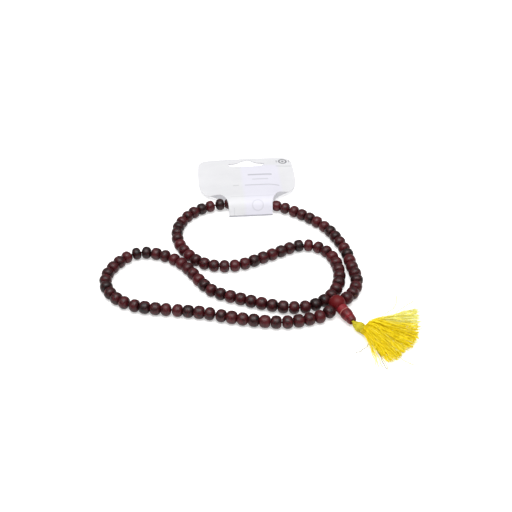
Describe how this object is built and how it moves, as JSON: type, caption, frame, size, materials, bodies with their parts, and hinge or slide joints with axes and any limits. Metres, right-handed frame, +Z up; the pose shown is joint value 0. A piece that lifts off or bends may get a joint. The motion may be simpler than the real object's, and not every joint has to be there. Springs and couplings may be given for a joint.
{
  "type": "mala prayer beads",
  "caption": "Loop of round turned wooden beads on one cord, closed by a larger guru bead and tower with a fanned thread tassel, and hung through a folded card with a hanging slot.",
  "frame": {"origin": "middle of the laid-out object's outline, on the surface it lies on", "axes": "+Z up from the surface, +Y from the loop's middle towards the card, +X towards the guru bead and tassel's side"},
  "size_m": [0.213, 0.2399, 0.0114],
  "materials": {
    "rosewood": "satin, streaked heartwood, crimson to nearly black",
    "brick_red_wood": "satin stained wood",
    "dark_red_wood": "satin stained wood",
    "cord": "twisted thread",
    "tassel_thread": "fine silky thread",
    "binding_thread": "wound thread",
    "card": "smooth white coated card"
  },
  "bodies": {
    "strand": {"guru_bead": "brick_red_wood", "cord": "cord", "tassel_cord": "binding_thread", "beads_002_004": "rosewood", "beads_006_008": "rosewood", "beads_034_036": "rosewood", "beads_038_041": "rosewood", "beads_043_046": "rosewood", "beads_048_051": "rosewood", "beads_053_056": "rosewood", "beads_058_060": "rosewood", "beads_062_064": "rosewood", "beads_066_068": "rosewood", "beads_070_072": "rosewood", "beads_098_100": "rosewood", "beads_102_104": "rosewood", "beads_106_108": "rosewood"},
    "upper_1": {"beads_010_012": "rosewood", "beads_030_032": "rosewood"},
    "upper_2": {"beads_014_016": "rosewood", "beads_026_028": "rosewood"},
    "upper_3": {"beads_018_020": "rosewood", "beads_022_024": "rosewood"},
    "lobe_1": {"beads_074_076": "rosewood", "beads_094_096": "rosewood"},
    "lobe_2": {"beads_078_080": "rosewood", "beads_090_092": "rosewood"},
    "lobe_3": {"beads_082_084": "rosewood", "beads_086_088": "rosewood"},
    "tower": {"guru_tower": "dark_red_wood"},
    "tassel": {"tassel_binding": "binding_thread"},
    "skirt": {"tassel_skirt": "tassel_thread"},
    "card": {"card_back": "card"},
    "card_leaf": {"card_front": "card"},
    "turning_bead_001": {"bead_001": "rosewood"},
    "turning_bead_005": {"bead_005": "rosewood"},
    "turning_bead_009": {"bead_009": "rosewood"},
    "turning_bead_013": {"bead_013": "rosewood"},
    "turning_bead_017": {"bead_017": "rosewood"},
    "turning_bead_021": {"bead_021": "rosewood"},
    "turning_bead_025": {"bead_025": "rosewood"},
    "turning_bead_029": {"bead_029": "rosewood"},
    "turning_bead_033": {"bead_033": "rosewood"},
    "turning_bead_037": {"bead_037": "rosewood"},
    "turning_bead_042": {"bead_042": "rosewood"},
    "turning_bead_047": {"bead_047": "rosewood"},
    "turning_bead_052": {"bead_052": "rosewood"},
    "turning_bead_057": {"bead_057": "rosewood"},
    "turning_bead_061": {"bead_061": "rosewood"},
    "turning_bead_065": {"bead_065": "rosewood"},
    "turning_bead_069": {"bead_069": "rosewood"},
    "turning_bead_073": {"bead_073": "rosewood"},
    "turning_bead_077": {"bead_077": "rosewood"},
    "turning_bead_081": {"bead_081": "rosewood"},
    "turning_bead_085": {"bead_085": "rosewood"},
    "turning_bead_089": {"bead_089": "rosewood"},
    "turning_bead_093": {"bead_093": "rosewood"},
    "turning_bead_097": {"bead_097": "rosewood"},
    "turning_bead_101": {"bead_101": "rosewood"},
    "turning_bead_105": {"bead_105": "rosewood"}
  },
  "joints": [
    {"name": "card_leaf_open", "type": "hinge", "parent": "card", "child": "card_leaf", "pos_m": [-0.00512, 0.0381, 0.00095], "axis": [0.9969, 0.0785, 0], "range_deg": [0, 75]},
    {"name": "card_swing", "type": "hinge", "parent": "upper_3", "child": "card", "pos_m": [-0.00729, 0.04721, 0.00475], "axis": [0.9994, -0.0357, 0.0011], "range_deg": [0, 90]},
    {"name": "fold_lobe_1", "type": "hinge", "parent": "strand", "child": "lobe_1", "pos_m": [-0.04215, -0.0382, 0.004], "axis": [-0.3622, 0.9321, 0], "range_deg": [0, 20], "deforming": ["cord"]},
    {"name": "fold_lobe_2", "type": "hinge", "parent": "lobe_1", "child": "lobe_2", "pos_m": [-0.06121, -0.01706, 0.004], "axis": [-0.0995, 0.995, 0], "range_deg": [0, 20], "deforming": ["cord"]},
    {"name": "fold_lobe_3", "type": "hinge", "parent": "lobe_2", "child": "lobe_3", "pos_m": [-0.08839, -0.01417, 0.004], "axis": [-0.0847, 0.9964, 0], "range_deg": [0, 20], "deforming": ["cord"]},
    {"name": "fold_top_1", "type": "hinge", "parent": "strand", "child": "upper_1", "pos_m": [0.05954, -0.00286, 0.004], "axis": [0.9995, -0.0314, 0], "range_deg": [0, 20], "deforming": ["cord"]},
    {"name": "fold_top_2", "type": "hinge", "parent": "upper_1", "child": "upper_2", "pos_m": [0.04604, 0.0223, 0.004], "axis": [0.998, -0.0636, 0], "range_deg": [0, 20], "deforming": ["cord"]},
    {"name": "fold_top_3", "type": "hinge", "parent": "upper_2", "child": "upper_3", "pos_m": [0.02382, 0.04041, 0.00422], "axis": [0.9949, -0.1005, -0.0027], "range_deg": [0, 20], "deforming": ["cord"]},
    {"name": "tassel_lift", "type": "hinge", "parent": "tassel", "child": "skirt", "pos_m": [0.06735, -0.09102, 0.00367], "axis": [-0.695, -0.719, 0], "range_deg": [0, 40]},
    {"name": "tassel_swing", "type": "hinge", "parent": "strand", "child": "tassel", "pos_m": [0.06153, -0.08539, 0.00399], "axis": [0, 0, 1], "range_deg": [-25, 25]},
    {"name": "tower_turn", "type": "hinge", "parent": "strand", "child": "tower", "pos_m": [0.05711, -0.07759, 0.00477], "axis": [0.4921, -0.8663, -0.086], "continuous": true},
    {"name": "turn_bead_001", "type": "hinge", "parent": "strand", "child": "turning_bead_001", "pos_m": [0.0581, -0.06088, 0.00485], "axis": [0.694, 0.707, -0.136], "continuous": true},
    {"name": "turn_bead_005", "type": "hinge", "parent": "strand", "child": "turning_bead_005", "pos_m": [0.06589, -0.03451, 0.004], "axis": [-0.1942, 0.981, 0], "continuous": true},
    {"name": "turn_bead_009", "type": "hinge", "parent": "strand", "child": "turning_bead_009", "pos_m": [0.06066, -0.00628, 0.004], "axis": [-0.3102, 0.9507, 0], "continuous": true},
    {"name": "turn_bead_013", "type": "hinge", "parent": "upper_1", "child": "turning_bead_013", "pos_m": [0.04831, 0.01951, 0.004], "axis": [-0.631, 0.7758, 0], "continuous": true},
    {"name": "turn_bead_017", "type": "hinge", "parent": "upper_2", "child": "turning_bead_017", "pos_m": [0.02685, 0.03847, 0.0041], "axis": [-0.8411, 0.54, 0.0323], "continuous": true},
    {"name": "turn_bead_021", "type": "hinge", "parent": "upper_3", "child": "turning_bead_021", "pos_m": [-0.0001, 0.04711, 0.00476], "axis": [-0.998, 0.0638, -0.0027], "continuous": true},
    {"name": "turn_bead_025", "type": "hinge", "parent": "upper_3", "child": "turning_bead_025", "pos_m": [-0.02879, 0.0467, 0.00455], "axis": [-0.9844, -0.1686, -0.0495], "continuous": true},
    {"name": "turn_bead_029", "type": "hinge", "parent": "upper_2", "child": "turning_bead_029", "pos_m": [-0.05221, 0.03168, 0.00399], "axis": [-0.5524, -0.8336, 0.0018], "continuous": true},
    {"name": "turn_bead_033", "type": "hinge", "parent": "upper_1", "child": "turning_bead_033", "pos_m": [-0.05741, 0.0043, 0.004], "axis": [0.2156, -0.9765, 0], "continuous": true},
    {"name": "turn_bead_037", "type": "hinge", "parent": "strand", "child": "turning_bead_037", "pos_m": [-0.04295, -0.01998, 0.004], "axis": [0.763, -0.6465, 0], "continuous": true},
    {"name": "turn_bead_042", "type": "hinge", "parent": "strand", "child": "turning_bead_042", "pos_m": [-0.00911, -0.0239, 0.004], "axis": [0.9152, 0.4031, 0], "continuous": true},
    {"name": "turn_bead_047", "type": "hinge", "parent": "strand", "child": "turning_bead_047", "pos_m": [0.02224, -0.00632, 0.004], "axis": [0.8535, 0.5211, 0], "continuous": true},
    {"name": "turn_bead_052", "type": "hinge", "parent": "strand", "child": "turning_bead_052", "pos_m": [0.05159, -0.0162, 0.004], "axis": [0.3923, -0.9198, 0], "continuous": true},
    {"name": "turn_bead_057", "type": "hinge", "parent": "strand", "child": "turning_bead_057", "pos_m": [0.05176, -0.05114, 0.004], "axis": [-0.4081, -0.913, 0], "continuous": true},
    {"name": "turn_bead_061", "type": "hinge", "parent": "strand", "child": "turning_bead_061", "pos_m": [0.03051, -0.06883, 0.004], "axis": [-0.9775, -0.2112, 0], "continuous": true},
    {"name": "turn_bead_065", "type": "hinge", "parent": "strand", "child": "turning_bead_065", "pos_m": [0.00229, -0.06529, 0.004], "axis": [-0.959, 0.2835, 0], "continuous": true},
    {"name": "turn_bead_069", "type": "hinge", "parent": "strand", "child": "turning_bead_069", "pos_m": [-0.02485, -0.05581, 0.004], "axis": [-0.9231, 0.3845, 0], "continuous": true},
    {"name": "turn_bead_073", "type": "hinge", "parent": "lobe_1", "child": "turning_bead_073", "pos_m": [-0.04403, -0.03514, 0.004], "axis": [-0.5237, 0.8519, 0], "continuous": true},
    {"name": "turn_bead_077", "type": "hinge", "parent": "lobe_2", "child": "turning_bead_077", "pos_m": [-0.06447, -0.01553, 0.004], "axis": [-0.9053, 0.4247, 0], "continuous": true},
    {"name": "turn_bead_081", "type": "hinge", "parent": "lobe_3", "child": "turning_bead_081", "pos_m": [-0.09101, -0.01662, 0.004], "axis": [-0.7298, -0.6836, 0], "continuous": true},
    {"name": "turn_bead_085", "type": "hinge", "parent": "lobe_3", "child": "turning_bead_085", "pos_m": [-0.10256, -0.04193, 0.004], "axis": [0.0624, -0.998, 0], "continuous": true},
    {"name": "turn_bead_089", "type": "hinge", "parent": "lobe_3", "child": "turning_bead_089", "pos_m": [-0.08707, -0.06463, 0.004], "axis": [0.8693, -0.4942, 0], "continuous": true},
    {"name": "turn_bead_093", "type": "hinge", "parent": "lobe_2", "child": "turning_bead_093", "pos_m": [-0.05932, -0.07131, 0.004], "axis": [0.9937, -0.1117, 0], "continuous": true},
    {"name": "turn_bead_097", "type": "hinge", "parent": "lobe_1", "child": "turning_bead_097", "pos_m": [-0.03087, -0.07542, 0.004], "axis": [0.9735, -0.2287, 0], "continuous": true},
    {"name": "turn_bead_101", "type": "hinge", "parent": "strand", "child": "turning_bead_101", "pos_m": [-0.00277, -0.08156, 0.004], "axis": [0.9874, -0.1584, 0], "continuous": true},
    {"name": "turn_bead_105", "type": "hinge", "parent": "strand", "child": "turning_bead_105", "pos_m": [0.02574, -0.0821, 0.004], "axis": [0.974, 0.2263, 0], "continuous": true}
  ]
}
